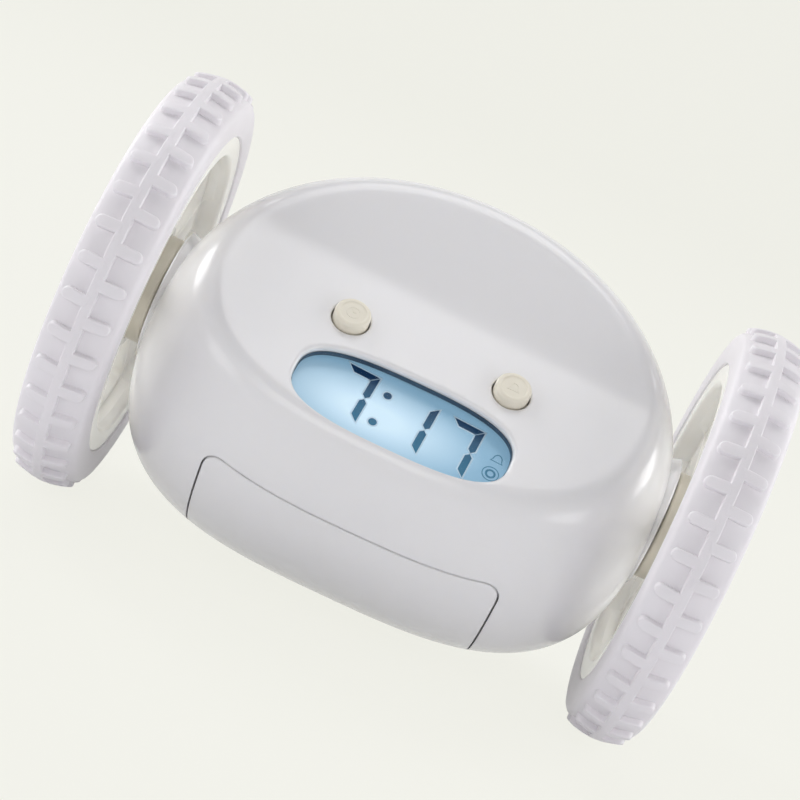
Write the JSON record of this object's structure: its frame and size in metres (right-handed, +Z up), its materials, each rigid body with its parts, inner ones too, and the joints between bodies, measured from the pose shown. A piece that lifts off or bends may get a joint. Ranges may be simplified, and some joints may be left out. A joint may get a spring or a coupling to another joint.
{
  "type": "runaway alarm clock",
  "caption": "Battery alarm clock with a rounded body, a dished face with a liquid crystal display and two buttons, carried on two large treaded drive wheels that roll it away.",
  "frame": {"origin": "on the floor, midway between the two wheels and right under their common axle line", "axes": "+X along the axle, to the right of someone who faces the display; -Y towards that person; +Z up"},
  "size_m": [0.1296, 0.0844, 0.0844],
  "materials": {
    "shell_abs": "gloss white moulded ABS",
    "ivory_abs": "satin ivory moulded ABS",
    "wheel_abs": "gloss bright white moulded ABS",
    "tyre_rubber": "matt white rubber",
    "clear_lens": "clear polished acrylic",
    "lcd_glass": "pale blue liquid crystal cell",
    "diffuser_acrylic": "frosted white acrylic",
    "circuit_board": "green glass fibre laminate",
    "black_plastic": "black moulded plastic",
    "speaker_steel": "plated steel frame and magnet",
    "plated_steel": "nickel plated steel",
    "tray_abs": "matt white ABS",
    "cell_jacket": null,
    "gear_acetal": "natural acetal",
    "frame_abs": "natural ABS",
    "motor_can": null,
    "rotor_brass": "brass pinion on a steel shaft",
    "lead_pvc": "soft PVC insulation"
  },
  "bodies": {
    "clock_body": {"front_shell": "shell_abs", "rear_shell": "shell_abs", "display_lens": "clear_lens", "lcd_panel": "lcd_glass", "lcd_backlight": "diffuser_acrylic", "main_board": "circuit_board", "board_chip": "black_plastic", "front_switches": "black_plastic", "board_screws": "plated_steel", "rear_board": "circuit_board", "rear_switches": "black_plastic", "loudspeaker": "speaker_steel", "speaker_ring": "black_plastic", "battery_tray": "tray_abs", "battery_contacts": "plated_steel", "battery_1": "cell_jacket", "battery_2": "cell_jacket", "battery_3": "cell_jacket", "battery_4": "cell_jacket", "shell_screws": "plated_steel", "left_bushing": "gear_acetal", "left_gear_pin": "plated_steel", "left_gear_frame": "frame_abs", "left_gear_cover": "frame_abs", "left_motor": "motor_can", "right_bushing": "gear_acetal", "right_gear_pin": "plated_steel", "right_gear_frame": "frame_abs", "right_gear_cover": "frame_abs", "right_motor": "motor_can", "motor_leads": "lead_pvc", "battery_leads": "lead_pvc", "speaker_leads": "lead_pvc", "board_leads": "lead_pvc"},
    "left_drive_wheel": {"left_wheel": "wheel_abs", "left_tyre": "tyre_rubber", "left_hub_cap": "ivory_abs", "left_wheel_screw": "plated_steel", "left_axle": "plated_steel", "left_output_gear": "gear_acetal"},
    "left_mid_gear": {"left_middle_gear": "gear_acetal"},
    "left_rotor": {"left_motor_rotor": "rotor_brass"},
    "right_drive_wheel": {"right_wheel": "wheel_abs", "right_tyre": "tyre_rubber", "right_hub_cap": "ivory_abs", "right_wheel_screw": "plated_steel", "right_axle": "plated_steel", "right_output_gear": "gear_acetal"},
    "right_mid_gear": {"right_middle_gear": "gear_acetal"},
    "right_rotor": {"right_motor_rotor": "rotor_brass"},
    "left_front_button_body": {"left_front_button": "ivory_abs"},
    "right_front_button_body": {"right_front_button": "ivory_abs"},
    "snooze_button_body": {"snooze_button": "ivory_abs"},
    "hour_button_body": {"hour_button": "ivory_abs"},
    "minute_button_body": {"minute_button": "ivory_abs"},
    "door": {"battery_door": "shell_abs"}
  },
  "joints": [
    {"name": "left_wheel_spin", "type": "hinge", "parent": "clock_body", "child": "left_drive_wheel", "pos_m": [-0.0576, 0, 0.0422], "axis": [1, 0, 0], "continuous": true},
    {"name": "left_middle_gear_spin", "type": "hinge", "parent": "clock_body", "child": "left_mid_gear", "pos_m": [-0.0354, 0.01133, 0.03692], "axis": [1, 0, 0], "continuous": true},
    {"name": "left_motor_spin", "type": "hinge", "parent": "clock_body", "child": "left_rotor", "pos_m": [-0.0318, 0.01456, 0.02484], "axis": [1, 0, 0], "continuous": true},
    {"name": "right_wheel_spin", "type": "hinge", "parent": "clock_body", "child": "right_drive_wheel", "pos_m": [0.0576, 0, 0.0422], "axis": [1, 0, 0], "continuous": true},
    {"name": "right_middle_gear_spin", "type": "hinge", "parent": "clock_body", "child": "right_mid_gear", "pos_m": [0.0354, 0.01133, 0.03692], "axis": [1, 0, 0], "continuous": true},
    {"name": "right_motor_spin", "type": "hinge", "parent": "clock_body", "child": "right_rotor", "pos_m": [0.0318, 0.01456, 0.02484], "axis": [1, 0, 0], "continuous": true},
    {"name": "left_front_button_press", "type": "slide", "parent": "clock_body", "child": "left_front_button_body", "axis": [0, 0.6157, -0.788], "range_m": [0, 0.0006], "stiffness_N_per_m": 300, "springref_m": -0.0006},
    {"name": "right_front_button_press", "type": "slide", "parent": "clock_body", "child": "right_front_button_body", "axis": [0, 0.6157, -0.788], "range_m": [0, 0.0006], "stiffness_N_per_m": 300, "springref_m": -0.0006},
    {"name": "snooze_button_press", "type": "slide", "parent": "clock_body", "child": "snooze_button_body", "axis": [0, -0.766, -0.6428], "range_m": [0, 0.001], "stiffness_N_per_m": 400, "springref_m": -0.001},
    {"name": "hour_button_press", "type": "slide", "parent": "clock_body", "child": "hour_button_body", "axis": [0, -0.766, -0.6428], "range_m": [0, 0.0006], "stiffness_N_per_m": 300, "springref_m": -0.0006},
    {"name": "minute_button_press", "type": "slide", "parent": "clock_body", "child": "minute_button_body", "axis": [0, -0.766, -0.6428], "range_m": [0, 0.0006], "stiffness_N_per_m": 300, "springref_m": -0.0006},
    {"name": "battery_door_lift", "type": "slide", "parent": "clock_body", "child": "door", "axis": [0, -0.6561, -0.7547], "range_m": [0, 0.025]}
  ],
  "couplings": [
    {"joint": "left_middle_gear_spin", "follows": "left_wheel_spin", "ratio": -4},
    {"joint": "left_motor_spin", "follows": "left_wheel_spin", "ratio": 16},
    {"joint": "right_middle_gear_spin", "follows": "right_wheel_spin", "ratio": -4},
    {"joint": "right_motor_spin", "follows": "right_wheel_spin", "ratio": 16}
  ]
}
